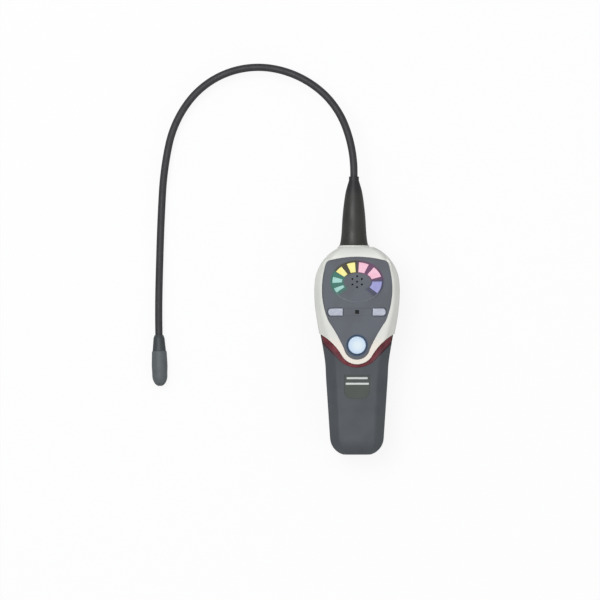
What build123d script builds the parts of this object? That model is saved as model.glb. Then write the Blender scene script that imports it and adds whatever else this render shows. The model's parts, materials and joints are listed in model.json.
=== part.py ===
from build123d import *
from functools import lru_cache
import math
import os

# A hand-held refrigerant leak detector lying on its back, in millimetres.
# X runs across the handset, Y towards the gooseneck and Z up out of its face.
# The origin is on the flat back, at a fixed reach from the head's end.

# Handset outline, seen from the front
body_length = 161.0
head_reach = 80.5
head_width = 66.0
handle_low_width = 40.0
handle_top_width = 48.0
handle_end_round = 13.0
head_swell_start = -20.0
head_swell_end = 44.0
head_crown_start = 50.0
head_crown_length = 33.0

# Handset outline, seen from the side
handle_height = 38.2
face_height = 41.0
face_slope = 7.5
face_start = -12.0
face_blend = 16.0
end_round = 12.0
end_overrun = 1.0
back_cut = 2.0
handle_stations = [0.0, 0.9, 2.3, 4.6, 8.2, 13.5]
handle_steps = 6
head_steps = 5
head_stations = [22.0, 15.0, 9.0, 5.0, 2.0, 0.0]
handle_roll_width = 8.0
handle_roll_drop = 8.5
head_roll_width = 4.2
head_roll_drop = 6.0
roll_round = 3.5
back_corner = 10.0

# Walls and levels of the shells
wall = 2.2
back_wall = 2.4
handle_end_wall = 2.6
head_end_wall = 4.0
parting_height = 26.0
frame_proud = 0.8
accent_sunk = 0.8
panel_sunk = 0.8
panel_thickness = 3.0
ledge_width = 0.8
ledge_thickness = 1.2
ledge_wall = 1.5
ledge_rise = 0.5
seam_gap = 0.15

# The off-white frame's lower edge and the accent band below it
frame_bow_radius = 13.6
frame_bow_centre = 3.4
frame_bow_turn = 60.0
frame_shoulder_x = 28.3
frame_shoulder_y = 13.0
accent_bow_radius = 20.0
accent_bow_centre = 7.2
accent_bow_turn = 45.0
accent_shoulder_x = 30.0
accent_shoulder_y = 9.4

# Face panel outline
panel_top = 73.7
panel_corner_x = 23.5
panel_corner_y = 70.3
panel_corner_round = 5.0
panel_widest_x = 27.2
panel_widest_y = 46.0
panel_waist_x = 22.2
panel_waist_y = 23.5
panel_waist_round = 14.0
panel_neck_x = 15.0
panel_neck_y = 11.8
panel_bow_radius = 10.1
panel_bow_centre = 3.4
panel_bow_rise = 12.0

# Display disc with its seven light windows and the sounder's holes
disc_y = 53.7
disc_half_width = 19.8
disc_half_height = 15.8
disc_proud = 0.7
window_rim = 0.6
window_inner_half_width = 11.6
window_inner_half_height = 7.4
window_sunk = 0.1
window_fit = 0.05
window_spans = [(-36, 1), (15, 48), (62, 86), (95, 115), (129, 149), (165, 184), (200, 214)]
sound_hole_radius = 0.75
sound_ring_radius = 4.2
sound_ring_holes = 6

# Keys and power button
key_row_y = 30.2
key_height = 5.6
left_key_x = -16.7
left_key_length = 11.3
right_key_x = 17.1
right_key_length = 10.1
key_end_round = 2.4
key_side_round = 0.5
key_edge_round = 0.4
key_proud = 0.7
key_travel = 0.6
key_gap = 0.2
key_flange = 0.5
key_flange_thickness = 1.0
key_strip_depth = 0.25
indicator_size = 3.0
indicator_sunk = 0.5
button_y = 4.5
button_radius = 6.8
button_proud = 1.1
button_travel = 0.8
button_edge_round = 0.8
button_moat_radius = 7.9
button_moat_depth = 0.7
press_reserve = 0.1

# Recessed pad on the front of the handle
pad_half_width = 9.9
pad_top = -18.6
pad_bottom = -37.0
pad_round = 6.0
pad_depth = 0.4

# Circuit board and what stands on it
board_depth = 9.0
board_thickness = 1.6
board_width = 41.0
board_low = 0.0
board_shoulder = 61.5
board_high = 69.0
board_tongue = 18.0
board_corner = 3.0
board_post_radius = 1.9
board_post_low_x = 11.5
board_post_low_y = 12.5
board_post_high_x = 18.2
board_post_high_y = 38.6
board_screw_radius = 1.0
board_screw_head_radius = 1.9
board_screw_head = 1.2
board_screw_length = 5.0
thread_gap = 0.02
switch_size = 6.0
switch_height = 3.2
switch_plunger_radius = 1.6
light_size = 2.4
light_height = 1.3
sounder_radius = 6.0
sounder_height = 5.0
chip_height = 1.6
controller_side = 10.0
controller_y = 40.0
driver_length = 6.0
driver_width = 5.0
driver_x = -9.0
driver_y = 24.0
socket_length = 12.0
socket_width = 5.0
socket_y = 62.0

# Cells, their bay in the rear shell and the contacts
cell_radius = 7.1
cell_length = 50.0
cell_tip_radius = 2.6
cell_tip = 1.3
cell_edge = 0.4
cell_gap = 0.3
contact_room = 2.4
contact_thickness = 0.3
contact_width = 9.0
contact_foot = 1.2
bay_wall = 1.2
bay_corner = 5.8

# Sliding battery door in the back
door_width = 30.0
door_flare = 1.2
door_gap = 0.15
door_ridge_count = 5
door_ridge_start = 4.4
door_ridge_pitch = 2.2
door_ridge_width = 1.0
door_ridge_depth = 0.5
door_ridge_length = 16.0

# Screws that hold the shells together
screw_radius = 1.45
screw_head_radius = 2.7
screw_head = 2.0
screw_sunk = 4.0
screw_bite = 9.0
screw_socket_radius = 1.2
boss_radius = 3.6
high_screw_x = 15.2
high_screw_y = 67.0
low_screw_x = 16.5
low_screw_y = -12.0

# Strain relief boot where the gooseneck leaves the head
boot_x = -2.3
boot_length = 55.0
boot_foot_radius = 11.3
boot_base_radius = 10.3
boot_waist_radius = 9.2
boot_shoulder_radius = 7.9
boot_nose_radius = 6.5
boot_tip_radius = 3.9
boot_foot_lean = 0.5
boot_nose_lean = 0.3
boot_base = 5.3
boot_waist = 19.3
boot_shoulder = 33.3
boot_nose = 42.6
boot_lip = 3.0
boot_seat_radius = 9.0
boot_flange_radius = 11.5
boot_flange = 2.0
boot_gap = 0.05

# Low ring on the head's end, round the boot
ring_length = 1.5
ring_foot_radius = 12.8
ring_top_radius = 11.7
ring_lip = 0.5

# Gooseneck: links of equal length, each a round bar bent by its own turn
neck_radius = 2.85
neck_link_length = 37.5
neck_turns = [21.4, 31.2, 27.3, 30.9, 31.6, 25.5, 8.8, 1.4, 0.6, 2.6]
neck_start = 3.0
neck_joint_gap = 0.2
ferrule_radius = 6.0
ferrule_length = 8.0
saddle_thickness = 5.0
saddle_width = 20.0

# Probe tip: collar, sensor and its pull-off cap
collar_length = 11.0
collar_lip = 1.4
collar_lip_radius = 3.4
collar_shoulder = 0.9
collar_shoulder_radius = 4.3
collar_thick_radius = 5.2
spigot_radius = 4.0
spigot_length = 11.0
sensor_radius = 3.3
sensor_length = 8.0
sensor_rim_radius = 3.7
sensor_rim = 1.0
sensor_pin_radius = 0.35
sensor_pin_length = 3.5
sensor_pin_ring = 1.8
sensor_pins = 3
cap_mouth_radius = 5.35
cap_neck = 2.2
cap_neck_radius = 5.85
cap_bulge = 12.3
cap_radius = 6.15
cap_nose_radius = 5.92
cap_nose = 8.5
cap_length = 27.5
cap_fit = 0.1
cap_bore_extra = 1.0
cap_inlet_radius = 1.4
cap_side_inlet_radius = 0.7
cap_side_inlet_ring = 3.2
cap_side_inlets = 6

# Places that follow from the sizes above
head_end = head_reach
handle_end = head_end - body_length
slope_tan = math.tan(math.radians(face_slope))
slope_sin = math.sin(math.radians(face_slope))
slope_cos = math.cos(math.radians(face_slope))
inner_head_end = head_end - head_end_wall
inner_handle_end = handle_end + handle_end_wall
sky = handle_height + head_width
cell_pitch = 2 * cell_radius + cell_gap
bay_half_width = cell_pitch / 2 + cell_radius + cell_gap
bay_floor = back_wall + door_gap
bay_top = bay_floor + cell_pitch + 2 * cell_radius + cell_gap
bay_low = inner_handle_end + contact_room + bay_wall
bay_high = bay_low + cell_length + 2 * contact_room
door_high = bay_high


def smooth(t):
    t = min(1.0, max(0.0, t))
    return t * t * (3 - 2 * t)


def dome(distance, radius):
    # How far a rounded end has fallen in at a distance from its tip
    u = min(1.0, max(0.0, (radius - distance) / radius))
    return radius * (1 - math.sqrt(1 - u * u))


def end_dome(y):
    return dome(min(y - handle_end, head_end - y) + end_overrun, end_round)


def swell(y):
    # Grows from 0 on the handle to 1 at the head's widest place
    return smooth((y - head_swell_start) / (head_swell_end - head_swell_start))


def half_width(y):
    top = handle_top_width / 2
    low = handle_low_width / 2
    taper = min(1.0, (y - handle_end) / (head_swell_start - handle_end))
    handle = low + (top - low) * taper
    head = head_width / 2 - frame_proud - top
    width = handle + head * swell(y)
    if y > head_crown_start:
        width *= math.sqrt(1 - ((y - head_crown_start) / head_crown_length) ** 2)
    return width - dome(y - handle_end + end_overrun / 2, handle_end_round)


def face_z(y):
    # The flat, sloping face of the head before its ends are rounded
    return face_height + slope_tan * (y - face_start)


def front_z(y):
    # Below the face the surface bends over, to reach the handle's height at its end
    long_run = face_start - handle_end - face_blend / 2
    gain = (handle_height - face_z(handle_end)) / long_run
    before = max(0.0, face_start - y)
    bend = min(before, face_blend)
    rise = gain * bend * bend / (2 * face_blend) + gain * (before - bend)
    return face_z(y) + rise - end_dome(y)


def back_z(y):
    return end_dome(y) - back_cut


def roll_size(y, share, inset):
    # Width and drop of the slanted side between the front and the flank
    grown = swell(y)
    width = share * (handle_roll_width + (head_roll_width - handle_roll_width) * grown)
    drop = share * (handle_roll_drop + (head_roll_drop - handle_roll_drop) * grown)
    slant = math.atan2(drop, width)
    width -= inset * (1 - math.tan(slant / 2))
    drop -= inset * (1 - math.tan(math.pi / 4 - slant / 2))
    return width, drop


def section(y, inset):
    half = half_width(y) - inset
    low = back_z(y) + inset
    high = front_z(y) - inset
    share = min(1.0, half_width(y) / (handle_top_width / 2))
    back = back_corner * share - inset
    front = roll_round - inset
    width, drop = roll_size(y, share, inset)
    right = [(half, low), (half, high - drop), (half - width, high)]
    left = [(-x, z) for x, z in reversed(right)]
    rounds = [back, front, front, front, front, back]
    outline = FilletPolyline(*right, *left, radius=rounds, close=True)
    place = Plane(origin=(0, y, 0), x_dir=(1, 0, 0), z_dir=(0, -1, 0))
    return place * make_face(outline)


@lru_cache(maxsize=None)
def envelope(inset, low_end=handle_end, high_end=head_end):
    # The body between two ends, an even distance inside its outer surface
    stations = [low_end + s for s in handle_stations]
    low = stations[-1]
    handle_span = face_start - low
    head_span = head_crown_start - face_start
    stations += [low + handle_span * k / handle_steps for k in range(1, handle_steps + 1)]
    stations += [face_start + head_span * k / head_steps for k in range(1, head_steps + 1)]
    stations += [high_end - s for s in head_stations]
    return loft([section(y, inset) for y in stations])


def block(x0, x1, y0, y1, z0, z1):
    size = Box(x1 - x0, y1 - y0, z1 - z0)
    return Pos((x0 + x1) / 2, (y0 + y1) / 2, (z0 + z1) / 2) * size


def above(z):
    reach = body_length
    return block(-reach, reach, -reach, reach, z, z + 2 * reach)


def along_y(radius, y0, y1, x=0.0, z=0.0):
    rod = Cylinder(radius, y1 - y0)
    return Pos(x, (y0 + y1) / 2, z) * Rot(90, 0, 0) * rod


def face_plane(x, y, depth=0.0):
    # A plane on the sloping face, at a depth below the panel's surface
    drop = panel_sunk + depth
    origin = (x, y + slope_sin * drop, face_z(y) - slope_cos * drop)
    return Plane(origin=origin, x_dir=(1, 0, 0), z_dir=(0, -slope_sin, slope_cos))


def face_prism(shape, x, y, depth, height):
    return face_plane(x, y, depth) * extrude(shape, amount=height)


def bow_region(radius, centre, turn, shoulder_x, shoulder_y):
    # Everything above a U-shaped edge that flares out to the sides
    angle = math.radians(turn)
    side = Vector(radius * math.sin(angle), centre - radius * math.cos(angle))
    heading = Vector(math.cos(angle), math.sin(angle))
    shoulder = Vector(shoulder_x, shoulder_y)
    bow = ThreePointArc((-side.X, side.Y), (0, centre - radius), (side.X, side.Y))
    right = TangentArc(side, shoulder, tangent=heading)
    out = right % 1
    edge = shoulder + out * head_width
    top = head_end + head_width
    right_line = Polyline((shoulder.X, shoulder.Y), (edge.X, edge.Y), (edge.X, top), (0, top))
    half = Curve() + right + right_line
    return make_face(Curve() + bow + half + mirror(half, Plane.YZ))


def frame_region():
    return bow_region(
        frame_bow_radius, frame_bow_centre, frame_bow_turn, frame_shoulder_x, frame_shoulder_y
    )


def accent_region():
    return bow_region(
        accent_bow_radius, accent_bow_centre, accent_bow_turn, accent_shoulder_x, accent_shoulder_y
    )


def panel_region(grow=0.0):
    # The panel's outline, or one that lies about the given distance outside it.
    # Its lower flanks lean, so their points move out and down.
    rise = math.radians(panel_bow_rise)
    bow_radius = panel_bow_radius + grow
    corner = (panel_corner_x + grow, panel_corner_y + grow)
    waist = (panel_waist_x + grow, panel_waist_y - grow / 2)
    low = (bow_radius * math.cos(rise), panel_bow_centre - bow_radius * math.sin(rise))
    top = ThreePointArc((-corner[0], corner[1]), (0, panel_top + grow), corner)
    bow = ThreePointArc((-low[0], low[1]), (0, panel_bow_centre - bow_radius), low)
    side = ThreePointArc(corner, (panel_widest_x + grow, panel_widest_y), waist)
    flank = ThreePointArc(waist, (panel_neck_x + grow, panel_neck_y - grow / 2), low)
    half = Curve() + side + flank
    face = make_face(Curve() + top + half + mirror(half, Plane.YZ) + bow)
    corners = [v for v in face.vertices() if abs(v.Y - corner[1]) < seam_gap]
    face = fillet(corners, panel_corner_round + grow)
    waists = [v for v in face.vertices() if abs(v.Y - waist[1]) < seam_gap]
    return fillet(waists, panel_waist_round)


def upright(shape):
    return extrude(Pos(0, 0, parting_height) * shape, amount=sky)


def ellipse_point(half_x, half_y, degrees):
    angle = math.radians(degrees)
    return (half_x * math.cos(angle), half_y * math.sin(angle))


def window_shape(start, stop):
    half_x = disc_half_width - window_rim
    half_y = disc_half_height - window_rim
    outer = [ellipse_point(half_x, half_y, a) for a in (start, (start + stop) / 2, stop)]
    inner = [
        ellipse_point(window_inner_half_width, window_inner_half_height, a)
        for a in (stop, (start + stop) / 2, start)
    ]
    edges = Curve() + ThreePointArc(*outer) + Line(outer[2], inner[0])
    edges += ThreePointArc(*inner)
    edges += Line(inner[2], outer[0])
    return make_face(edges)


def window_centre(start, stop):
    half_x = (disc_half_width + window_inner_half_width) / 2
    half_y = (disc_half_height + window_inner_half_height) / 2
    return ellipse_point(half_x, half_y, (start + stop) / 2)


def key_shape(length, side, grow=0.0):
    # The end away from the middle of the face is the rounder one
    half = length / 2 + grow
    rise = key_height / 2 + grow
    outer = key_end_round + grow
    inner = key_side_round + grow
    near = -half * side
    far = half * side
    corners = [(near, -rise), (far, -rise), (far, rise), (near, rise)]
    return make_face(FilletPolyline(*corners, radius=[inner, outer, outer, inner], close=True))


def key_part(x, length, side):
    # A cap that stands proud of the panel, on a flange that keeps it in
    low = panel_thickness + seam_gap + key_flange_thickness
    shape = key_shape(length, side)
    wide = key_shape(length, side, key_gap + key_flange)
    top = face_prism(shape, x, key_row_y, low, low + key_proud)
    top = fillet(top.faces().sort_by(Axis.Z)[-1].edges(), key_edge_round)
    return top + face_prism(wide, x, key_row_y, low, key_flange_thickness)


def button_part():
    depth = panel_thickness + seam_gap + key_flange_thickness
    body = face_prism(Circle(button_radius), 0, button_y, depth, depth + button_proud)
    body = fillet(body.edges().sort_by(Axis.Z)[-1:], button_edge_round)
    grown = Circle(button_radius + key_gap + key_flange)
    return body + face_prism(grown, 0, button_y, depth, key_flange_thickness)


def switch_part(x, y, travel):
    # Its plunger waits just below the key's full travel
    key_low = panel_thickness + seam_gap + key_flange_thickness
    reach = board_depth - key_low - travel - press_reserve
    body = face_prism(Rectangle(switch_size, switch_size), x, y, board_depth, switch_height)
    return body + face_prism(Circle(switch_plunger_radius), x, y, board_depth, reach)


def face_panel_part(region):
    panel = face_prism(region, 0, 0, panel_thickness, panel_thickness)
    disc = Ellipse(disc_half_width, disc_half_height)
    panel += face_prism(disc, 0, disc_y, panel_thickness, panel_thickness + disc_proud)
    return panel + board_post_stock() + panel_bosses() - face_panel_cuts()


def panel_hole(shape, x, y):
    deep = panel_thickness + wall
    return face_prism(shape, x, y, deep, 2 * deep)


def sound_holes():
    ring = PolarLocations(sound_ring_radius, sound_ring_holes)
    spots = [(0, 0)] + [(p.position.Y, p.position.X) for p in ring]
    return [panel_hole(Circle(sound_hole_radius), x, disc_y + y) for x, y in spots]


def key_cuts():
    # The openings of both keys and the shallow strip that joins them
    middle = (right_key_x + left_key_x) / 2
    strip = Rectangle(right_key_x - left_key_x, key_height + 2 * key_gap)
    left = key_shape(left_key_length, -1, key_gap)
    right = key_shape(right_key_length, 1, key_gap)
    return [
        face_prism(strip, middle, key_row_y, key_strip_depth, panel_thickness),
        panel_hole(left, left_key_x, key_row_y),
        panel_hole(right, right_key_x, key_row_y),
    ]


def face_panel_cuts():
    cuts = [panel_hole(window_shape(a, b), 0, disc_y) for a, b in window_spans]
    cuts += sound_holes() + key_cuts()
    cuts.append(panel_hole(Rectangle(indicator_size, indicator_size), 0, key_row_y))
    cuts.append(panel_hole(Circle(button_radius + key_gap), 0, button_y))
    moat = Circle(button_moat_radius)
    cuts.append(face_prism(moat, 0, button_y, button_moat_depth, panel_thickness))
    thread = Circle(board_screw_radius + thread_gap)
    bite = board_screw_length - board_thickness + press_reserve
    low = board_depth + press_reserve
    cuts += [face_prism(thread, x, y, low, bite) for x, y in board_posts()]
    return cuts + screw_pilots(high_screws())


def screw_pilots(places):
    pilot = Cylinder(screw_radius + thread_gap, 2 * (screw_bite + press_reserve))
    return [Pos(x, y, parting_height) * pilot for x, y in places]


def board_post_stock():
    height = board_depth - panel_thickness / 2
    post = Circle(board_post_radius)
    return [face_prism(post, x, y, board_depth, height) for x, y in board_posts()]


def panel_bosses():
    # Posts that reach from the panel down to the rear shell's own posts
    post = extrude(Circle(boss_radius), amount=sky)
    lid = face_prism(Rectangle(sky, 2 * sky), 0, 0, panel_thickness / 2, sky)
    return [(Pos(x, y, parting_height) * post) - lid for x, y in high_screws()]


def board_posts():
    return [
        (side * x, y)
        for side in (-1, 1)
        for x, y in ((board_post_low_x, board_post_low_y), (board_post_high_x, board_post_high_y))
    ]


def board_part():
    plate = RectangleRounded(board_width, board_shoulder - board_low, board_corner)
    plate = Pos(0, (board_shoulder + board_low) / 2) * plate
    tongue = RectangleRounded(board_tongue, board_high - board_low, board_corner)
    plate += Pos(0, (board_high + board_low) / 2) * tongue
    board = face_prism(plate, 0, 0, board_depth + board_thickness, board_thickness)
    hole = Circle(board_screw_radius + thread_gap)
    for x, y in board_posts():
        board -= face_prism(hole, x, y, board_depth + 2 * board_thickness, 3 * board_thickness)
    return board


def board_screws_part():
    low = board_depth + board_thickness
    head = Circle(board_screw_head_radius)
    shank = Circle(board_screw_radius)
    screws = []
    for x, y in board_posts():
        top = face_prism(head, x, y, low + board_screw_head, board_screw_head)
        screws.append(top + face_prism(shank, x, y, low, board_screw_length))
    return Compound(screws)


def windows_parts():
    height = panel_thickness + disc_proud - window_sunk
    shapes = [offset(window_shape(start, stop), -window_fit) for start, stop in window_spans]
    return [face_prism(shape, 0, disc_y, panel_thickness, height) for shape in shapes]


def lights_part():
    lights = []
    for start, stop in window_spans:
        x, y = window_centre(start, stop)
        square = Rectangle(light_size, light_size)
        lights.append(face_prism(square, x, disc_y + y, board_depth, light_height))
    return Compound(lights)


def chips_part():
    # Controller, driver and the connector of the sensor's wires, under the board
    low = board_depth + board_thickness + chip_height
    controller = Rectangle(controller_side, controller_side)
    driver = Rectangle(driver_length, driver_width)
    socket = Rectangle(socket_length, socket_width)
    chips = [
        face_prism(controller, 0, controller_y, low, chip_height),
        face_prism(driver, driver_x, driver_y, low, chip_height),
        face_prism(socket, 0, socket_y, low + chip_height, 2 * chip_height),
    ]
    return Compound(chips)


def high_screws():
    return [(side * high_screw_x, high_screw_y) for side in (-1, 1)]


def low_screws():
    return [(side * low_screw_x, low_screw_y) for side in (-1, 1)]


def boot_seat_hole():
    radius = boot_seat_radius + boot_gap
    return along_y(radius, inner_head_end - wall, head_end + wall, boot_x, parting_height)


def end_ring():
    # Its side falls in to a narrow lip
    low = head_end - ring_lip
    high = head_end + ring_length
    side = RadiusArc(
        (ring_foot_radius, head_end), (ring_top_radius, high - ring_lip), -ring_foot_radius
    )
    points = [(ring_top_radius, high - ring_lip), (ring_top_radius, high), (boot_seat_radius, high)]
    points += [(boot_seat_radius, low), (ring_foot_radius, low), (ring_foot_radius, head_end)]
    profile = make_face(Curve() + side + Polyline(*points))
    return Pos(boot_x, 0, parting_height) * revolve(profile, Axis.Y)


def head_frame_part(cavity, region, panel):
    # A rim under the face carries the panel on a narrow ledge
    frame = (upright(region) & envelope(-frame_proud)) - cavity
    frame += end_ring() & above(parting_height)
    depth = panel_thickness + seam_gap + ledge_thickness
    rim = panel_region(ledge_wall) - panel_region(-ledge_width)
    frame += face_prism(rim, 0, 0, depth, depth - ledge_rise)
    opening = face_prism(panel, 0, 0, panel_thickness + seam_gap, sky)
    return frame - [opening, boot_seat_hole()]


def accent_part(cavity, band):
    return (upright(band) & envelope(accent_sunk)) - cavity


def front_grip_part(cavity, region):
    grip = upright(region) & envelope(0.0)
    pad = Pos(0, (pad_top + pad_bottom) / 2) * Rectangle(2 * pad_half_width, pad_top - pad_bottom)
    pad = fillet(pad.vertices().sort_by(Axis.Y)[:2], pad_round)
    post = extrude(Circle(boss_radius), amount=face_height)
    posts = [Pos(x, y, parting_height) * post & cavity for x, y in low_screws()]
    recess = upright(pad) - envelope(pad_depth)
    return (grip - cavity) + posts - [recess] - screw_pilots(low_screws())


def door_profile(gap):
    # A dovetail, widest inside, so that the door can only slide
    half = door_width / 2 + gap
    top = back_wall + gap
    wide = half + door_flare
    corners = [(-half, -top), (half, -top), (half, 0), (wide, top), (-wide, top), (-half, 0)]
    return make_face(Polyline(*corners, close=True))


def door_prism(gap, high):
    low = handle_end - end_round
    place = Plane(origin=(0, low, 0), x_dir=(-1, 0, 0), z_dir=(0, 1, 0))
    return place * extrude(door_profile(gap), amount=high - low)


def battery_door_part():
    door = door_prism(0.0, door_high) & envelope(0.0) & above(0.0)
    for k in range(door_ridge_count):
        y = door_high - door_ridge_start - door_ridge_pitch * k
        half = door_ridge_length / 2
        door -= block(-half, half, y, y + door_ridge_width, -back_cut, door_ridge_depth)
    return door


def bay_shape(grow):
    # Section of the battery bay across the handle, its far corners rounded
    half = bay_half_width + grow
    height = bay_top - bay_floor + grow
    shape = Rectangle(2 * half, height, align=(Align.CENTER, Align.MIN))
    far = shape.vertices().sort_by(Axis.Y)[-2:]
    return fillet(far, bay_corner - bay_wall + grow)


def bay_solid(grow, low, high):
    place = Plane(origin=(0, high, bay_floor), x_dir=(1, 0, 0), z_dir=(0, -1, 0))
    return place * extrude(bay_shape(grow), amount=high - low)


def saddle_span():
    high = inner_head_end - boot_flange - wall
    return high - saddle_thickness, high


def rear_shell_part(cavity):
    low, high = saddle_span()
    reach = saddle_width / 2
    saddle = block(boot_x - reach, boot_x + reach, low, high, 0, parting_height)
    boss = extrude(Circle(boss_radius), amount=parting_height)
    posts = [Pos(x, y, 0) * boss for x, y in high_screws() + low_screws()]
    bay = bay_solid(bay_wall, bay_low - bay_wall, bay_high + bay_wall)
    inside = [part & cavity for part in [saddle, bay] + posts]
    seat = along_y(ferrule_radius + boot_gap, low - wall, high + wall, boot_x, parting_height)
    cuts = [bay_solid(0.0, bay_low, bay_high), boot_seat_hole(), seat]
    cuts.append(door_prism(door_gap, door_high + door_gap))
    clearance = Cylinder(screw_radius + seam_gap, 2 * (parting_height + wall))
    counterbore = Cylinder(screw_head_radius + seam_gap, 2 * (screw_sunk + screw_head))
    for x, y in high_screws() + low_screws():
        cuts += [Pos(x, y, 0) * clearance, Pos(x, y, 0) * counterbore]
    shell = envelope(0.0) & block(-sky, sky, -body_length, body_length, 0, parting_height)
    ring = end_ring() - above(parting_height)
    return (shell - cavity) + inside + ring - cuts


def housing_screws_part():
    low = screw_sunk + screw_head
    length = parting_height + screw_bite - low - wall
    socket = RegularPolygon(screw_socket_radius, 6)
    screw = Pos(0, 0, screw_sunk) * extrude(Circle(screw_head_radius), amount=screw_head)
    screw += Pos(0, 0, low) * extrude(Circle(screw_radius), amount=length)
    screw -= Pos(0, 0, screw_sunk) * extrude(socket, amount=screw_head / 2)
    return Compound([Pos(x, y, 0) * screw for x, y in high_screws() + low_screws()])


def cell_places():
    low = bay_floor + cell_gap + cell_radius
    return [
        (side * cell_pitch / 2, low + row * cell_pitch)
        for row in (0, 1)
        for side in (-1, 1)
    ]


def cells_part():
    start = bay_low + contact_room
    end = start + cell_length
    cell = chamfer(along_y(cell_radius, start, end - cell_tip).edges(), cell_edge)
    cell += along_y(cell_tip_radius, end - 2 * cell_tip, end)
    return Compound([Pos(x, 0, z) * cell for x, z in cell_places()])


def contacts_part():
    # A flat strip on each end of the bay and a bowed spring tongue on each cell
    thick = contact_thickness
    room = contact_room - thick
    half = contact_width / 2
    inner = half - contact_foot
    bow = [(0, -half), (room, 0), (0, half), (0, inner), (room - 2 * thick, 0), (0, -inner)]
    place = Plane(origin=(-half, bay_low, 0), x_dir=(0, 1, 0), z_dir=(1, 0, 0))
    tongue = place * extrude(make_face(Polyline(*bow, close=True)), amount=contact_width)
    plate = block(-half, half, bay_high - room, bay_high, -half, half)
    return Compound([Pos(x, 0, z) * piece for x, z in cell_places() for piece in (tongue, plate)])


def boot_part():
    foot = head_end + ring_length
    tip = head_end + boot_length
    seat = inner_head_end
    bore = neck_radius + boot_gap
    flare = Spline(
        (boot_foot_radius, foot),
        (boot_base_radius, head_end + boot_base),
        (boot_waist_radius, head_end + boot_waist),
        (boot_shoulder_radius, head_end + boot_shoulder),
        (boot_nose_radius, head_end + boot_nose),
        (boot_tip_radius, tip - boot_lip),
        tangents=[(-boot_foot_lean, 1), (-boot_nose_lean, 1)],
    )
    low = Polyline(
        (boot_tip_radius, tip - boot_lip),
        (boot_tip_radius, tip),
        (bore, tip),
        (bore, seat - boot_flange),
        (boot_flange_radius, seat - boot_flange),
        (boot_flange_radius, seat - seam_gap),
        (boot_seat_radius, seat - seam_gap),
        (boot_seat_radius, foot),
        (boot_foot_radius, foot),
    )
    shape = revolve(make_face(Curve() + flare + low), Axis.Y)
    return Pos(boot_x, 0, parting_height) * shape


def neck_origin():
    return head_end + boot_length + neck_start


def neck_frames():
    # Places and headings along the neck while it still lies level, one per joint
    x, y, heading = 0.0, 0.0, 90.0
    frames = [(x, y, heading)]
    for turn in neck_turns:
        half = math.radians(turn) / 2
        chord = neck_link_length * (math.sin(half) / half if half else 1.0)
        along = math.radians(heading) + half
        x += chord * math.cos(along)
        y += chord * math.sin(along)
        heading += turn
        frames.append((x, y, heading))
    return frames


def neck_tilt():
    # The neck leans down to the left until the sensor cap lies on the table
    x, y, heading = neck_frames()[-1]
    reach = -x - (collar_length + cap_bulge) * math.cos(math.radians(heading))
    return math.degrees(math.asin((parting_height - cap_radius) / reach))


def neck_place(frame):
    x, y, heading = frame
    lean = Pos(boot_x, neck_origin(), parting_height) * Rot(0, -neck_tilt(), 0)
    return lean * Pos(x, y, 0) * Rot(0, 0, heading)


def link_part(frame, turn, ball):
    # A bar along +X that bends to the left, cupped at its start and round at its end
    circle = Plane.YZ * Circle(neck_radius)
    if turn:
        radius = neck_link_length / math.radians(turn)
        centre = Axis((0, radius, 0), (0, 0, 1))
        bar = revolve(circle, centre, turn)
        end = Pos(0, radius, 0) * Rot(0, 0, turn) * Pos(0, -radius, 0)
    else:
        bar = extrude(circle, amount=neck_link_length)
        end = Pos(neck_link_length, 0, 0)
    if ball:
        bar += end * Sphere(neck_radius)
    bar -= Sphere(neck_radius + neck_joint_gap)
    return neck_place(frame) * bar


def neck_links():
    frames = neck_frames()
    last = len(neck_turns) - 1
    return [link_part(frames[k], turn, k < last) for k, turn in enumerate(neck_turns)]


def neck_root_part():
    end = neck_origin()
    start = inner_head_end - boot_flange - saddle_thickness - 2 * wall
    rod = along_y(neck_radius, start, end, boot_x, parting_height)
    return rod + Pos(boot_x, end, parting_height) * Sphere(neck_radius)


def ferrule_part():
    high = inner_head_end - boot_flange - seam_gap
    low = high - ferrule_length
    bore = neck_radius + thread_gap
    ring = along_y(ferrule_radius, low, high, boot_x, parting_height)
    return ring - along_y(bore, low - wall, high + wall, boot_x, parting_height)


def turned(points):
    # A round piece along +X from its half outline, given as (along, radius)
    return revolve(make_face(Polyline(*points, close=True)), Axis.X)


def tip_place():
    return neck_place(neck_frames()[-1])


def collar_part():
    # Its lip reaches back over the gooseneck's end
    spigot_end = collar_length + spigot_length
    bore = neck_radius + boot_gap
    points = [(0, 0), (0, bore), (-collar_lip, bore), (-collar_lip, collar_lip_radius)]
    points += [(collar_shoulder, collar_shoulder_radius), (collar_length, collar_thick_radius)]
    points += [(collar_length, spigot_radius), (spigot_end, spigot_radius), (spigot_end, 0)]
    body = turned(points)
    for spot in PolarLocations(sensor_pin_ring, sensor_pins):
        hole = Pos(spigot_end, 0, 0) * Rot(0, 90, 0) * spot
        body -= hole * Cylinder(sensor_pin_radius + boot_gap, 2 * (sensor_pin_length + boot_gap))
    return tip_place() * body


def sensor_part():
    start = collar_length + spigot_length
    points = [(start, 0), (start, sensor_rim_radius), (start + sensor_rim, sensor_rim_radius)]
    points += [(start + sensor_rim, sensor_radius), (start + sensor_length, sensor_radius)]
    points += [(start + sensor_length, 0)]
    body = turned(points)
    for spot in PolarLocations(sensor_pin_ring, sensor_pins):
        pin = Pos(start, 0, 0) * Rot(0, 90, 0) * spot
        body += pin * Cylinder(sensor_pin_radius, 2 * sensor_pin_length)
    return tip_place() * body


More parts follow.
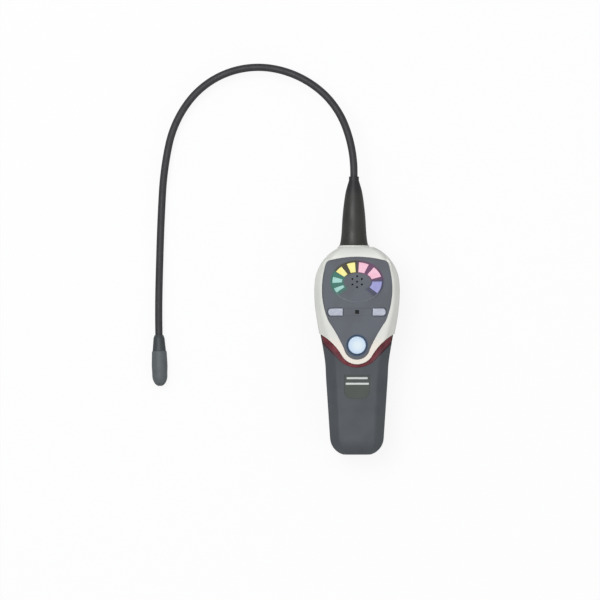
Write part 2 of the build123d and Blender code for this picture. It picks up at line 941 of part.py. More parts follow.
def sensor_cap_part():
    # A slim bottle shape, open at its mouth and pierced at its nose
    start = collar_length
    end = start + cap_length
    nose = end - cap_nose
    bore = spigot_radius + cap_fit
    bore_end = start + spigot_length + sensor_length + cap_bore_extra
    side = Spline(
        (start, cap_mouth_radius),
        (start + cap_neck, cap_neck_radius),
        (start + cap_bulge, cap_radius),
        (nose, cap_nose_radius),
        tangents=[(1, 1), (1, 0)],
    )
    outline = Curve() + Line((start, bore), (start, cap_mouth_radius)) + side
    outline += EllipticalCenterArc(
        (nose, 0), cap_nose, cap_nose_radius, start_angle=0, arc_size=90
    )
    outline += Polyline((end, 0), (bore_end, 0), (bore_end, bore), (start, bore))
    cap = revolve(make_face(outline), Axis.X)
    drill = Pos(end, 0, 0) * Rot(0, 90, 0)
    inlet = Cylinder(cap_side_inlet_radius, 2 * cap_nose)
    cap -= drill * Cylinder(cap_inlet_radius, 2 * cap_nose)
    cap -= [drill * spot * inlet for spot in PolarLocations(cap_side_inlet_ring, cap_side_inlets)]
    return tip_place() * cap


def indicator_part():
    square = Rectangle(indicator_size, indicator_size)
    return face_prism(square, 0, key_row_y, panel_thickness, panel_thickness - indicator_sunk)


def sounder_part():
    return face_prism(Circle(sounder_radius), 0, disc_y, board_depth, sounder_height)


def switches_part():
    switches = [
        switch_part(left_key_x, key_row_y, key_travel),
        switch_part(right_key_x, key_row_y, key_travel),
        switch_part(0, button_y, button_travel),
    ]
    return Compound(switches)


def main():
    cavity = envelope(wall, inner_handle_end, inner_head_end) & above(back_wall)
    frame = frame_region()
    accent = accent_region()
    panel = panel_region()
    everything = Rectangle(2 * head_width, 2 * body_length)
    parts = {
        "rear_shell": rear_shell_part(cavity),
        "front_grip": front_grip_part(cavity, everything - accent),
        "head_frame": head_frame_part(cavity, frame, panel),
        "accent_band": accent_part(cavity, accent - frame),
        "face_panel": face_panel_part(panel),
        "power_button": button_part(),
        "left_key": key_part(left_key_x, left_key_length, -1),
        "right_key": key_part(right_key_x, right_key_length, 1),
        "main_board": board_part(),
        "board_screws": board_screws_part(),
        "board_chips": chips_part(),
        "window_lights": lights_part(),
        "indicator_lens": indicator_part(),
        "sounder": sounder_part(),
        "key_switches": switches_part(),
        "battery_door": battery_door_part(),
        "battery_cells": cells_part(),
        "battery_contacts": contacts_part(),
        "housing_screws": housing_screws_part(),
        "neck_boot": boot_part(),
        "neck_root": neck_root_part(),
        "neck_ferrule": ferrule_part(),
        "probe_collar": collar_part(),
        "gas_sensor": sensor_part(),
        "sensor_cap": sensor_cap_part(),
    }
    for k, window in enumerate(windows_parts()):
        parts[f"light_window_{k + 1}"] = window
    for k, link in enumerate(neck_links()):
        parts[f"neck_link_{k + 1:02d}"] = link
    os.makedirs("parts", exist_ok=True)
    for name, shape in parts.items():
        export_step(shape, f"parts/{name}.step")


main()
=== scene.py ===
import json
import math

import bpy
from mathutils import Matrix, Vector


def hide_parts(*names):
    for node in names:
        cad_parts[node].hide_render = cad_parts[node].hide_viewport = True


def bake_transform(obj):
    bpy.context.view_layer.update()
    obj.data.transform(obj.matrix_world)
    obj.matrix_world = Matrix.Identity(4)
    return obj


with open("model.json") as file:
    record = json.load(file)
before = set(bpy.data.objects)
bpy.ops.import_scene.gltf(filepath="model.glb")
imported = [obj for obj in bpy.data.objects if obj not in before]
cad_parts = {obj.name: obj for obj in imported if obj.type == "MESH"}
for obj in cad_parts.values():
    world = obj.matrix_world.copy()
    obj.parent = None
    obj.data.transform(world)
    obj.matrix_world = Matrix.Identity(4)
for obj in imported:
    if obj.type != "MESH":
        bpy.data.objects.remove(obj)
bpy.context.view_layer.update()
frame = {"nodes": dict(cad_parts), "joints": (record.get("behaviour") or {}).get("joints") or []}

cadNodes = frame["nodes"]
print("frame: loaded", len(cadNodes), "solids")


def linear(hexColour):
    channels = [int(hexColour[k:k + 2], 16) / 255 for k in (1, 3, 5)]
    return [c / 12.92 if c <= 0.04045 else ((c + 0.055) / 1.055) ** 2.4 for c in channels] + [1.0]


def addNode(tree, kind, inputs=None, **settings):
    # inputs: a socket's name or number, and either a value or the socket that feeds it
    node = tree.nodes.new(kind)
    for name, value in settings.items():
        setattr(node, name, value)
    for socket, value in (inputs or {}).items():
        if isinstance(value, bpy.types.NodeSocket):
            tree.links.new(value, node.inputs[socket])
        else:
            node.inputs[socket].default_value = value
    return node


def newMaterial(name):
    material = bpy.data.materials.new(name)
    material.use_nodes = True
    material.node_tree.nodes.clear()
    return material, material.node_tree


# ---- camera: straight down on the face, with a long lens as for a catalogue picture
shot = {"x": -0.0442, "y": 0.0396, "level": 0.030, "width": 0.4659, "distance": 5.0}
cameraData = bpy.data.cameras.new("topCamera")
cameraData.lens = 36 * shot["distance"] / shot["width"]
cameraData.clip_end = 20
topCamera = bpy.data.objects.new("topCamera", cameraData)
topCamera.location = (shot["x"], shot["y"], shot["level"] + shot["distance"])
bpy.context.scene.collection.objects.link(topCamera)
bpy.context.scene.camera = topCamera
print("camera: lens", round(cameraData.lens), "mm")


# ---- light: a large soft box high on the left, a weaker one low on the right, and a pale room
lamps = {
    "keyBox": {"place": (-0.5, 0.5, 1.7), "size": 1.0, "power": 15.5, "colour": (0.97, 0.985, 1.0)},
    "fillBox": {"place": (0.95, -0.55, 1.2), "size": 1.2, "power": 3.0, "colour": (1.0, 0.985, 0.96)},
}
for name, lamp in lamps.items():
    light = bpy.data.lights.new(name, "AREA")
    light.shape = "SQUARE"
    light.size = lamp["size"]
    light.energy = lamp["power"]
    light.color = lamp["colour"]
    lightObject = bpy.data.objects.new(name, light)
    lightObject.location = lamp["place"]
    aim = Vector((shot["x"], shot["y"], 0)) - Vector(lamp["place"])
    lightObject.rotation_euler = aim.to_track_quat("-Z", "Y").to_euler()
    bpy.context.scene.collection.objects.link(lightObject)

room = {"level": 0.42, "colour": "#fbfcff"}
world = bpy.data.worlds.new("paleRoom")
bpy.context.scene.world = world
world.use_nodes = True
roomTree = world.node_tree
roomTree.nodes.clear()
seenBy = addNode(roomTree, "ShaderNodeLightPath")
plainRoom = addNode(roomTree, "ShaderNodeBackground", {"Color": linear(room["colour"]), "Strength": room["level"]})
whiteRoom = addNode(roomTree, "ShaderNodeBackground", {"Color": linear("#ffffff"), "Strength": 1.0})
roomMix = addNode(roomTree, "ShaderNodeMixShader", {
    0: seenBy.outputs["Is Camera Ray"], 1: plainRoom.outputs[0], 2: whiteRoom.outputs[0]})
addNode(roomTree, "ShaderNodeOutputWorld", {"Surface": roomMix.outputs[0]})


# ---- table: white laminate that the camera sees nearly as paper, with its shadows
table = {"reach": 3.0, "colour": "#cfcfcf", "whiteShare": 0.8, "whiteLevel": 1.1}
tableMesh = bpy.data.meshes.new("tableTop")
reach = table["reach"]
tableMesh.from_pydata([(-reach, -reach, 0), (reach, -reach, 0), (reach, reach, 0), (-reach, reach, 0)], [], [(0, 1, 2, 3)])
tableTop = bpy.data.objects.new("tableTop", tableMesh)
bpy.context.scene.collection.objects.link(tableTop)
whiteLaminate, tree = newMaterial("white laminate, satin")
seenBy = addNode(tree, "ShaderNodeLightPath")
share = addNode(tree, "ShaderNodeMath", {0: seenBy.outputs["Is Camera Ray"], 1: table["whiteShare"]}, operation="MULTIPLY")
plain = addNode(tree, "ShaderNodeBsdfDiffuse", {"Color": linear(table["colour"])})
paper = addNode(tree, "ShaderNodeEmission", {"Color": linear("#ffffff"), "Strength": table["whiteLevel"]})
laminateMix = addNode(tree, "ShaderNodeMixShader", {0: share.outputs[0], 1: plain.outputs[0], 2: paper.outputs[0]})
addNode(tree, "ShaderNodeOutputMaterial", {"Surface": laminateMix.outputs[0]})
tableMesh.materials.append(whiteLaminate)
print("light and table: done")


# ---- shared by several finishes
def objectPlace(tree):
    return addNode(tree, "ShaderNodeTexCoord").outputs["Object"]


def flatDistance(tree, place, centre, scale=(1, 1)):
    # distance from a point in the plane of the face, in metres, or in units of an ellipse's half axes
    offset = addNode(tree, "ShaderNodeVectorMath", {0: place, 1: (centre[0], centre[1], 0)}, operation="SUBTRACT")
    scaled = addNode(tree, "ShaderNodeVectorMath", {
        0: offset.outputs[0], 1: (1 / scale[0], 1 / scale[1], 0)}, operation="MULTIPLY")
    return addNode(tree, "ShaderNodeVectorMath", {0: scaled.outputs[0]}, operation="LENGTH").outputs["Value"]


def boxDistance(tree, place, centre, half, corner):
    # how far a point is outside a rectangle with round corners, seen from above
    offset = addNode(tree, "ShaderNodeVectorMath", {0: place, 1: (centre[0], centre[1], 0)}, operation="SUBTRACT")
    flat = addNode(tree, "ShaderNodeVectorMath", {0: offset.outputs[0], 1: (1, 1, 0)}, operation="MULTIPLY")
    folded = addNode(tree, "ShaderNodeVectorMath", {0: flat.outputs[0]}, operation="ABSOLUTE")
    inner = (half[0] - corner, half[1] - corner, 0)
    beyond = addNode(tree, "ShaderNodeVectorMath", {0: folded.outputs[0], 1: inner}, operation="SUBTRACT")
    outside = addNode(tree, "ShaderNodeVectorMath", {0: beyond.outputs[0], 1: (0, 0, 0)}, operation="MAXIMUM")
    length = addNode(tree, "ShaderNodeVectorMath", {0: outside.outputs[0]}, operation="LENGTH")
    return addNode(tree, "ShaderNodeMath", {0: length.outputs["Value"], 1: corner}, operation="SUBTRACT").outputs[0]


def fade(tree, value, start, end):
    # 0 at start and 1 at end, with soft ends
    return addNode(tree, "ShaderNodeMapRange", {
        "Value": value, "From Min": start, "From Max": end}, interpolation_type="SMOOTHSTEP").outputs["Result"]


def paintOver(tree, under, mask, colour):
    over = colour if isinstance(colour, bpy.types.NodeSocket) else linear(colour)
    return addNode(tree, "ShaderNodeMix", {0: mask, 6: under, 7: over}, data_type="RGBA").outputs[2]


def mottled(tree, place, hexColour, otherHex, patchMm, seed=0.0):
    # two near shades in soft patches, as mouldings have from flow and handling
    shifted = addNode(tree, "ShaderNodeVectorMath", {0: place, 1: (seed, seed * 2, seed * 3)}, operation="ADD")
    cloud = addNode(tree, "ShaderNodeTexNoise", {
        "Vector": shifted.outputs[0], "Scale": 1000 / patchMm, "Detail": 2.0, "Roughness": 0.5})
    return paintOver(tree, linear(hexColour), fade(tree, cloud.outputs["Fac"], 0.35, 0.68), otherHex)


def grainNormal(tree, place, grainMm, depthMm, edgeMm):
    # fine pebbles of a spark-eroded mould, and edges that are not razor sharp
    soft = addNode(tree, "ShaderNodeBevel", {"Radius": edgeMm / 1000}, samples=4)
    pebbles = addNode(tree, "ShaderNodeTexNoise", {
        "Vector": place, "Scale": 1000 / grainMm, "Detail": 2.0, "Roughness": 0.6})
    return addNode(tree, "ShaderNodeBump", {
        "Strength": 1.0, "Distance": depthMm / 1000, "Height": pebbles.outputs["Fac"],
        "Normal": soft.outputs["Normal"]}).outputs["Normal"]


def finishMaterial(tree, colour, roughness, normal, **constants):
    shader = addNode(tree, "ShaderNodeBsdfPrincipled", {"Base Color": colour, "Roughness": roughness, "Normal": normal})
    for name, value in constants.items():
        shader.inputs[name.replace("_", " ")].default_value = value
    addNode(tree, "ShaderNodeOutputMaterial", {"Surface": shader.outputs[0]})
    return shader


def satinVariation(tree, place, low, high, patchMm):
    # roughness that wanders a little, so that a highlight is not perfectly even
    cloud = addNode(tree, "ShaderNodeTexNoise", {"Vector": place, "Scale": 1000 / patchMm, "Detail": 3.0})
    return addNode(tree, "ShaderNodeMapRange", {
        "Value": cloud.outputs["Fac"], "From Min": 0.3, "From Max": 0.7, "To Min": low, "To Max": high}).outputs["Result"]


# ---- dark grey grip: glass-filled nylon, spark textured, which looks dull and slightly grainy
grip = {
    "colour": "#53575b", "patch": "#4e5256", "padColour": "#4d534d", "seamColour": "#26282a",
    "print": "#dfe2df", "grainMm": 0.9, "depthMm": 0.035, "edgeMm": 0.4,
    "padX": 9.9, "padTop": -18.6, "padBottom": -37.0, "padCorner": 6.0,
    "barHeight": 1.5, "bars": [(0.1, -21.0, 16.2), (0.2, -25.3, 18.0)],
    "seamLevel": 26.0, "seamWidth": 0.22,
}


def gripPlastic():
    material, tree = newMaterial("glass-filled nylon, spark textured")
    place = objectPlace(tree)
    colour = mottled(tree, place, grip["colour"], grip["patch"], 14)
    # the shallow pad in front, a little darker and greener
    tall = (grip["padTop"] - grip["padBottom"]) / 2000 + grip["padCorner"] / 1000
    middle = grip["padBottom"] / 1000 + tall
    pad = boxDistance(tree, place, (0, middle), (grip["padX"] / 1000, tall), grip["padCorner"] / 1000)
    level = addNode(tree, "ShaderNodeSeparateXYZ", {0: place})
    inPad = fade(tree, pad, 0.0008, -0.0012)
    below = fade(tree, level.outputs["Y"], grip["padTop"] / 1000 + 0.0006, grip["padTop"] / 1000 - 0.0012)
    front = fade(tree, level.outputs["Z"], 0.034, 0.036)
    padMask = addNode(tree, "ShaderNodeMath", {0: inPad, 1: below}, operation="MULTIPLY")
    padMask = addNode(tree, "ShaderNodeMath", {0: padMask.outputs[0], 1: front}, operation="MULTIPLY")
    colour = paintOver(tree, colour, padMask.outputs[0], grip["padColour"])
    # two plain printed bars
    for x, y, length in grip["bars"]:
        half = (length / 2000, grip["barHeight"] / 2000)
        bar = fade(tree, boxDistance(tree, place, (x / 1000, y / 1000), half, 0.0003), 0.00012, -0.00012)
        onFront = addNode(tree, "ShaderNodeMath", {0: bar, 1: front}, operation="MULTIPLY")
        colour = paintOver(tree, colour, onFront.outputs[0], grip["print"])
    # the dark line where the two shells meet
    off = addNode(tree, "ShaderNodeMath", {0: level.outputs["Z"], 1: grip["seamLevel"] / 1000}, operation="SUBTRACT")
    off = addNode(tree, "ShaderNodeMath", {0: off.outputs[0]}, operation="ABSOLUTE")
    seam = fade(tree, off.outputs[0], grip["seamWidth"] / 1000, grip["seamWidth"] / 3000)
    colour = paintOver(tree, colour, seam, grip["seamColour"])
    normal = grainNormal(tree, place, grip["grainMm"], grip["depthMm"], grip["edgeMm"])
    finishMaterial(tree, colour, satinVariation(tree, place, 0.5, 0.62, 9), normal, IOR=1.5)
    return material


# ---- off-white frame: moulded ABS, satin, clean and slightly warm
whiteFrame = {"colour": "#f1f1ea", "patch": "#ebece4", "low": "#fff6ea", "grainMm": 1.6, "depthMm": 0.008, "edgeMm": 0.5}


def framePlastic():
    material, tree = newMaterial("moulded ABS, satin off-white")
    place = objectPlace(tree)
    colour = mottled(tree, place, whiteFrame["colour"], whiteFrame["patch"], 20)
    # a little creamier in the bow under the button
    axes = addNode(tree, "ShaderNodeSeparateXYZ", {0: place})
    colour = paintOver(tree, colour, fade(tree, axes.outputs["Y"], 0.014, 0.002), whiteFrame["low"])
    normal = grainNormal(tree, place, whiteFrame["grainMm"], whiteFrame["depthMm"], whiteFrame["edgeMm"])
    finishMaterial(tree, colour, satinVariation(tree, place, 0.34, 0.46, 12), normal, IOR=1.53)
    return material


# ---- dark red band: soft-touch rubber over the grip, with painted shade in deep red by the frame, and greyer away from it
accent = {
    "deep": "#621b24", "colour": "#86343f", "far": "#654048", "grainMm": 0.9, "depthMm": 0.03, "edgeMm": 0.4,
    "frameEdge": [(0, -10.2), (7, -8.3), (11.8, -3.4), (15.2, 1.4), (19.2, 5.8), (23.6, 9.8), (28.3, 13), (34, 16)],
    "frameShadeMm": 1.4, "farMm": 8.0,
}


def accentRubber():
    material, tree = newMaterial("overmoulded elastomer, dark red")
    place = objectPlace(tree)
    axes = addNode(tree, "ShaderNodeSeparateXYZ", {0: place})
    side = addNode(tree, "ShaderNodeMath", {0: axes.outputs["X"]}, operation="ABSOLUTE")
    spot = addNode(tree, "ShaderNodeMapRange", {"Value": side.outputs[0], "From Min": 0.0, "From Max": 0.034})
    edge = addNode(tree, "ShaderNodeFloatCurve", {"Value": spot.outputs["Result"]})
    curve = edge.mapping.curves[0]
    for k, (x, y) in enumerate(accent["frameEdge"]):
        at = (x / 34, (y + 20) / 40)
        if k in (0, len(accent["frameEdge"]) - 1):
            curve.points[0 if k == 0 else -1].location = at
        else:
            curve.points.new(*at)
    edge.mapping.update()
    edgeY = addNode(tree, "ShaderNodeMapRange", {
        "Value": edge.outputs[0], "To Min": -0.020, "To Max": 0.020})
    away = addNode(tree, "ShaderNodeMath", {0: edgeY.outputs["Result"], 1: axes.outputs["Y"]}, operation="SUBTRACT")
    red = mottled(tree, place, accent["colour"], accent["deep"], 8)
    # painted shade: a deep red strip along the frame's edge, where the frame shades the band
    red = paintOver(tree, red, fade(tree, away.outputs[0], accent["frameShadeMm"] / 1000, 0.0), accent["deep"])
    red = paintOver(tree, red, fade(tree, away.outputs[0], accent["frameShadeMm"] / 1000, accent["farMm"] / 1000), accent["far"])
    normal = grainNormal(tree, place, accent["grainMm"], accent["depthMm"], accent["edgeMm"])
    finishMaterial(tree, red, satinVariation(tree, place, 0.5, 0.6, 9), normal, IOR=1.5)
    return material


# ---- face panel: moulded ABS, matt blue-grey, tinted where the lit windows shine into it
face = {
    "colour": "#676b73", "patch": "#62666c", "grainMm": 1.1, "depthMm": 0.012, "edgeMm": 0.25,
    "discY": 53.7, "discX": 19.8, "discTall": 15.8, "innerX": 11.6, "innerTall": 7.4,
    "rimColour": "#888c93", "buttonY": 4.5, "buttonRadius": 7.0, "ringRadius": 8.3, "moatShadeColour": "#39526f",
    "keyShade": "#4b4f5a", "keys": [(-16.7, 30.2, 11.3), (17.1, 30.2, 10.1)], "keyTall": 5.6,
    # degrees round the disc, tint and how strong it is
    "tints": [
        (-180, "#3b8170", 0.85), (-149, "#3b8170", 0.75), (-139, "#50605f", 0.0), (-46, "#45485f", 0.0),
        (-38, "#45475f", 0.7), (2, "#474868", 0.8), (9, "#74466a", 0.85), (50, "#7a4a70", 0.9),
        (84, "#6b4260", 0.8), (92, "#473f2a", 0.85), (150, "#4b4529", 0.85), (158, "#3b8170", 0.85),
        (180, "#3b8170", 0.85),
    ],
}


def facePlastic():
    material, tree = newMaterial("moulded ABS, matt blue-grey")
    place = objectPlace(tree)
    colour = mottled(tree, place, face["colour"], face["patch"], 16)
    centre = (0, face["discY"] / 1000)
    around = addNode(tree, "ShaderNodeVectorMath", {0: place, 1: (centre[0], centre[1], 0)}, operation="SUBTRACT")
    axes = addNode(tree, "ShaderNodeSeparateXYZ", {0: around.outputs[0]})
    turn = addNode(tree, "ShaderNodeMath", {0: axes.outputs["Y"], 1: axes.outputs["X"]}, operation="ARCTAN2")
    spot = addNode(tree, "ShaderNodeMapRange", {"Value": turn.outputs[0], "From Min": -math.pi, "From Max": math.pi})
    tint = addNode(tree, "ShaderNodeValToRGB", {0: spot.outputs["Result"]})
    stops = tint.color_ramp.elements
    for k, (angle, hexColour, strength) in enumerate(face["tints"]):
        position = (angle + 180) / 360
        if k == 0:
            stop = stops[0]
        elif k == len(face["tints"]) - 1:
            stop = stops[len(stops) - 1]
        else:
            stop = stops.new(position)
        stop.position = position
        stop.color = linear(hexColour)[:3] + [strength]
    outer = flatDistance(tree, place, centre, (face["discX"] / 1000, face["discTall"] / 1000))
    inner = flatDistance(tree, place, centre, (face["innerX"] / 1000, face["innerTall"] / 1000))
    ring = addNode(tree, "ShaderNodeMath", {
        0: fade(tree, outer, 1.10, 0.98), 1: fade(tree, inner, 0.84, 1.0)}, operation="MULTIPLY")
    glow = addNode(tree, "ShaderNodeMath", {0: ring.outputs[0], 1: tint.outputs["Alpha"]}, operation="MULTIPLY")
    colour = paintOver(tree, colour, glow.outputs[0], tint.outputs["Color"])
    # the lower rim of the disc catches the light
    rim = addNode(tree, "ShaderNodeMath", {
        0: fade(tree, outer, 0.965, 0.99), 1: fade(tree, outer, 1.02, 1.0)}, operation="MULTIPLY")
    low = fade(tree, axes.outputs["Y"], -0.006, -0.010)
    rim = addNode(tree, "ShaderNodeMath", {0: rim.outputs[0], 1: low}, operation="MULTIPLY")
    colour = paintOver(tree, colour, rim.outputs[0], face["rimColour"])
    # shade in the gap round each key
    for x, y, length in face["keys"]:
        gap = boxDistance(tree, place, (x / 1000, y / 1000), (length / 2000, face["keyTall"] / 2000), 0.0015)
        colour = paintOver(tree, colour, fade(tree, gap, 0.0012, 0.0002), face["keyShade"])
    # painted shade in the moat round the button, tinted dark blue by the lit button
    fromButton = flatDistance(tree, place, (0, face["buttonY"] / 1000))
    blue = fade(tree, fromButton, face["ringRadius"] / 1000 + 0.0008, face["ringRadius"] / 1000 - 0.0006)
    colour = paintOver(tree, colour, blue, face["moatShadeColour"])
    normal = grainNormal(tree, place, face["grainMm"], face["depthMm"], face["edgeMm"])
    finishMaterial(tree, colour, satinVariation(tree, place, 0.42, 0.55, 10), normal, IOR=1.5)
    return material


# ---- light windows: cast acrylic with a milky diffuser, lit from below
windows = {
    "violet": ("#a8a7d9", "#9f9ed2"), "pink": ("#fbcbdc", "#f8c1d5"),
    "yellow": ("#fff9a6", "#fff296"), "green": ("#acdad2", "#a0d0c7"),
}
windowOf = {1: "violet", 2: "pink", 3: "pink", 4: "yellow", 5: "yellow", 6: "green", 7: "green"}


def windowAcrylic(name):
    light, deep = windows[name]
    material, tree = newMaterial(f"diffusing acrylic, {name}")
    place = objectPlace(tree)
    colour = mottled(tree, place, light, deep, 3)
    normal = grainNormal(tree, place, 1.2, 0.01, 0.25)
    shader = finishMaterial(tree, colour, 0.3, normal, IOR=1.49)
    tree.links.new(colour, shader.inputs["Emission Color"])
    shader.inputs["Emission Strength"].default_value = 0.12
    return material


# ---- power button: translucent polycarbonate, pale blue, with a painted glow that is brightest in the middle
button = {"middle": "#ebf8ff", "edge": "#d2e6fb", "y": 4.5, "radius": 6.8}


def buttonPlastic():
    material, tree = newMaterial("translucent polycarbonate, pale blue")
    place = objectPlace(tree)
    # painted glow: paler in the middle, bluer towards the edge
    out = fade(tree, flatDistance(tree, place, (0.0005, button["y"] / 1000)), 0.0015, button["radius"] / 1000)
    colour = paintOver(tree, linear(button["middle"]), out, button["edge"])
    normal = grainNormal(tree, place, 1.5, 0.008, 0.4)
    shader = finishMaterial(tree, colour, 0.32, normal, IOR=1.58)
    # painted glow: the button's colour emits a little light
    tree.links.new(colour, shader.inputs["Emission Color"])
    shader.inputs["Emission Strength"].default_value = 0.06
    return material


# ---- keys: silicone rubber, pale lilac grey, a little cloudy
keys = {"colour": "#cdd1de", "patch": "#bec2d1"}


def keySilicone():
    material, tree = newMaterial("moulded silicone, lilac grey")
    place = objectPlace(tree)
    colour = mottled(tree, place, keys["colour"], keys["patch"], 2.6)
    normal = grainNormal(tree, place, 1.0, 0.015, 0.4)
    finishMaterial(tree, colour, 0.45, normal, IOR=1.43)
    return material


# ---- boot: moulded chloroprene rubber, olive black, with a darker nose
boot = {"colour": "#34352f", "patch": "#2f302b", "nose": "#232226", "noseStart": 119.0, "noseEnd": 126.0}


def bootRubber():
    material, tree = newMaterial("moulded chloroprene rubber, olive black")
    place = objectPlace(tree)
    axes = addNode(tree, "ShaderNodeSeparateXYZ", {0: place})
    colour = mottled(tree, place, boot["colour"], boot["patch"], 11)
    nose = fade(tree, axes.outputs["Y"], boot["noseStart"] / 1000, boot["noseEnd"] / 1000)
    colour = paintOver(tree, colour, nose, boot["nose"])
    normal = grainNormal(tree, place, 0.9, 0.02, 0.6)
    finishMaterial(tree, colour, satinVariation(tree, place, 0.42, 0.55, 8), normal, IOR=1.52)
    return material


# ---- gooseneck's skin: extruded rubber sleeve, charcoal, drawn along its length
sleeve = {
    "radius": 2.88, "linkMm": 37.5, "turns": [21.4, 31.2, 27.3, 30.9, 31.6, 25.5, 8.8, 1.4, 0.6, 2.6],
    "sides": 40, "ringMm": 1.2, "insideBootMm": 9.0, "barePart": 3.0, "colour": "#37363a", "patch": "#323135",
}


def sleeveRubber():
    material, tree = newMaterial("extruded rubber, charcoal")
    place = objectPlace(tree)
    colour = mottled(tree, place, sleeve["colour"], sleeve["patch"], 9)
    normal = grainNormal(tree, place, 0.9, 0.012, 0.3)
    finishMaterial(tree, colour, satinVariation(tree, place, 0.48, 0.6, 6), normal, IOR=1.52)
    return material


# ---- collar and cap: moulded nylon, two greys
tip = {"collar": "#3f4548", "collarPatch": "#3a4043", "cap": "#5f6568", "capPatch": "#595f62"}


def tipNylon(name, hexColour, otherHex):
    material, tree = newMaterial(name)
    place = objectPlace(tree)
    colour = mottled(tree, place, hexColour, otherHex, 7)
    normal = grainNormal(tree, place, 0.9, 0.02, 0.4)
    finishMaterial(tree, colour, satinVariation(tree, place, 0.45, 0.57, 6), normal, IOR=1.53)
    return material


# ---- small parts that are mostly inside: one row each, name, colours, roughness, metal, patch size in mm
inside = {
    "darkLens": ("moulded acrylic, black", "#040405", "#070708", 0.3, 0.0, 5),
    "boardGreen": ("glass epoxy board, green mask", "#1f5a38", "#184a2e", 0.35, 0.0, 3),
    "steel": ("zinc plated steel", "#9b9da0", "#86888c", 0.32, 1.0, 2),
    "spring": ("nickel plated spring steel", "#b1b0a8", "#9c9b94", 0.25, 1.0, 2),
    "chipResin": ("moulded epoxy, black", "#1a1a1c", "#222225", 0.5, 0.0, 2),
    "lightResin": ("cast clear epoxy", "#e8e6da", "#dcd9cb", 0.2, 0.0, 1),
    "brass": ("turned brass", "#b0904f", "#9d7f43", 0.3, 1.0, 2),
    "sensorSteel": ("drawn stainless steel", "#a8abae", "#95989b", 0.28, 1.0, 2),
}


def plainFinish(name, hexColour, otherHex, roughness, metal, patchMm):
    material, tree = newMaterial(name)
    place = objectPlace(tree)
    colour = mottled(tree, place, hexColour, otherHex, patchMm)
    normal = grainNormal(tree, place, 0.8, 0.006, 0.15)
    rough = satinVariation(tree, place, roughness, roughness + 0.08, patchMm)
    finishMaterial(tree, colour, rough, normal, Metallic=metal)
    return material


# ---- cells: printed foil jackets, dark blue with a copper band at the positive end
cells = {"jacket": "#1d3557", "band": "#a9794c", "bandStart": -33.0, "bandEnd": -32.6}


def cellJacket():
    material, tree = newMaterial("printed foil jacket")
    place = objectPlace(tree)
    axes = addNode(tree, "ShaderNodeSeparateXYZ", {0: place})
    colour = mottled(tree, place, cells["jacket"], "#1a304f", 6)
    band = fade(tree, axes.outputs["Y"], cells["bandStart"] / 1000, cells["bandEnd"] / 1000)
    colour = paintOver(tree, colour, band, cells["band"])
    normal = grainNormal(tree, place, 0.8, 0.004, 0.3)
    finishMaterial(tree, colour, 0.3, normal, Metallic=0.6)
    return material


materials = {name: plainFinish(*row) for name, row in inside.items()}
materials.update({
    "grip": gripPlastic(), "frame": framePlastic(), "accent": accentRubber(), "face": facePlastic(),
    "button": buttonPlastic(), "key": keySilicone(), "boot": bootRubber(), "sleeve": sleeveRubber(),
    "collar": tipNylon("moulded nylon, slate", tip["collar"], tip["collarPatch"]),
    "cap": tipNylon("moulded nylon, mid grey", tip["cap"], tip["capPatch"]), "cell": cellJacket(),
})
windowMaterials = {name: windowAcrylic(name) for name in windows}
finishOf = {
    "rear_shell": "grip", "front_grip": "grip", "battery_door": "grip", "head_frame": "frame",
    "accent_band": "accent", "face_panel": "face", "power_button": "button", "left_key": "key",
    "right_key": "key", "indicator_lens": "darkLens", "main_board": "boardGreen", "board_screws": "steel",
    "board_chips": "chipResin", "window_lights": "lightResin", "sounder": "chipResin",
    "key_switches": "chipResin", "battery_cells": "cell", "battery_contacts": "spring",
    "housing_screws": "steel", "neck_boot": "boot", "neck_root": "sleeve", "neck_ferrule": "brass",
    "probe_collar": "collar", "gas_sensor": "sensorSteel", "sensor_cap": "cap",
}
for name, node in cadNodes.items():
    if name.startswith("light_window_"):
        finish = windowMaterials[windowOf[int(name[-1])]]
    elif name.startswith("neck_link_"):
        finish = materials["sleeve"]
    else:
        finish = materials[finishOf[name]]
    node.data.materials.clear()
    node.data.materials.append(finish)
print("finishes:", len(materials) + len(windowMaterials))


# ---- gooseneck sleeve: one skin from the boot to the collar, in a length for each joint
def sleeveTree():
    tree = bpy.data.node_groups.new("gooseneckSleeve", "GeometryNodeTree")
    tree.is_modifier = True
    tree.interface.new_socket("Route", in_out="INPUT", socket_type="NodeSocketGeometry")
    tree.interface.new_socket("Radius", in_out="INPUT", socket_type="NodeSocketFloat")
    tree.interface.new_socket("Sides", in_out="INPUT", socket_type="NodeSocketInt")
    tree.interface.new_socket("Skin", in_out="INPUT", socket_type="NodeSocketMaterial")
    tree.interface.new_socket("Sleeve", in_out="OUTPUT", socket_type="NodeSocketGeometry")
    given = addNode(tree, "NodeGroupInput")
    route = addNode(tree, "GeometryNodeMeshToCurve", {"Mesh": given.outputs["Route"]})
    ring = addNode(tree, "GeometryNodeCurvePrimitiveCircle", {
        "Resolution": given.outputs["Sides"], "Radius": given.outputs["Radius"]})
    tube = addNode(tree, "GeometryNodeCurveToMesh", {
        "Curve": route.outputs["Curve"], "Profile Curve": ring.outputs["Curve"], "Fill Caps": True})
    whole = addNode(tree, "GeometryNodeRealizeInstances", {"Geometry": tube.outputs["Mesh"]})
    skinned = addNode(tree, "GeometryNodeSetMaterial", {
        "Geometry": whole.outputs["Geometry"], "Material": given.outputs["Skin"]})
    addNode(tree, "NodeGroupOutput", {"Sleeve": skinned.outputs["Geometry"]})
    return tree


def setInput(modifier, tree, name, value):
    for item in tree.interface.items_tree:
        if item.item_type == "SOCKET" and item.in_out == "INPUT" and item.name == name:
            modifier[item.identifier] = value


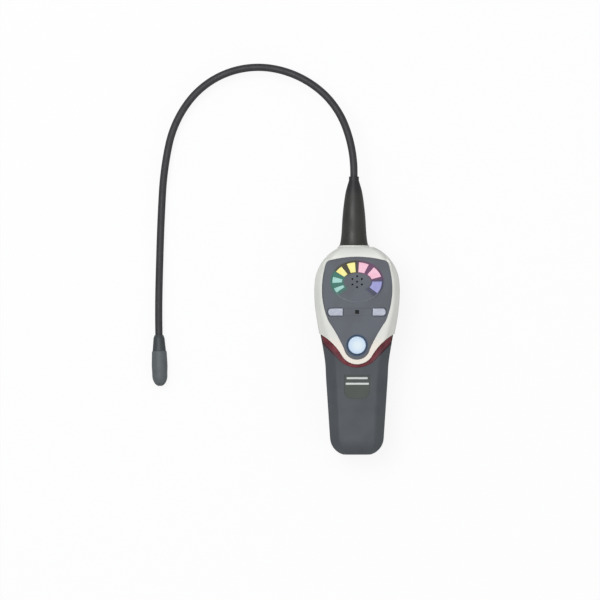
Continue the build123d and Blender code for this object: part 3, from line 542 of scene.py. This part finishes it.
bends = [joint for joint in frame["joints"] if joint["name"].startswith("neck_bend_")]
bends.sort(key=lambda joint: int(joint["name"].rsplit("_", 1)[1]))
levelAxis = -Vector(bends[0]["axis"])  # square to the plane that the neck bends in
sideways = Vector((0, 1, 0)).cross(levelAxis).normalized()
neckStart = Vector(bends[0]["pos_m"])


def neckPoint(distance):
    # a place on the neck's middle line, by its distance in mm from the first bend
    spot = Vector((0.0, 0.0))
    heading = math.pi / 2
    if distance < 0:
        spot.y = distance
    for turn in sleeve["turns"]:
        run = min(max(distance, 0.0), sleeve["linkMm"])
        angle = math.radians(turn) * run / sleeve["linkMm"]
        chord = run * math.sin(angle / 2) / (angle / 2) if angle else run
        spot += chord * Vector((math.cos(heading + angle / 2), math.sin(heading + angle / 2)))
        heading += angle
        distance -= run
    return neckStart + (sideways * spot.x + Vector((0, 1, 0)) * spot.y) / 1000


gooseneckTree = sleeveTree()
link = sleeve["linkMm"]
total = link * len(sleeve["turns"])
for k, joint in enumerate(bends):
    start = -sleeve["barePart"] - sleeve["insideBootMm"] if k == 0 else link * (k - 0.5)
    end = total if k == len(bends) - 1 else link * (k + 0.5)
    steps = math.ceil((end - start) / sleeve["ringMm"])
    points = [neckPoint(start + (end - start) * n / steps) for n in range(steps + 1)]
    holder = bpy.data.meshes.new("sleeveRoute")
    holder.from_pydata([p[:] for p in points], [(n, n + 1) for n in range(steps)], [])
    piece = bpy.data.objects.new(f"neckSleeve_{k + 1:02d}", holder)
    bpy.context.scene.collection.objects.link(piece)
    modifier = piece.modifiers.new("sleeve", "NODES")
    modifier.node_group = gooseneckTree
    setInput(modifier, gooseneckTree, "Radius", sleeve["radius"] / 1000)
    setInput(modifier, gooseneckTree, "Sides", sleeve["sides"])
    setInput(modifier, gooseneckTree, "Skin", materials["sleeve"])
    shown = piece.evaluated_get(bpy.context.evaluated_depsgraph_get())
    skin = bpy.data.meshes.new_from_object(shown)
    piece.modifiers.remove(modifier)
    piece.data = skin
    bpy.data.meshes.remove(holder)
    bendStart = neckPoint(-sleeve["barePart"] if k == 0 else start)
    bendEnd = neckPoint(link * (k + 0.5))
    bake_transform(piece)
    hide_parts(f"neck_link_{k + 1:02d}")


bpy.context.scene.view_settings.view_transform = "Standard"
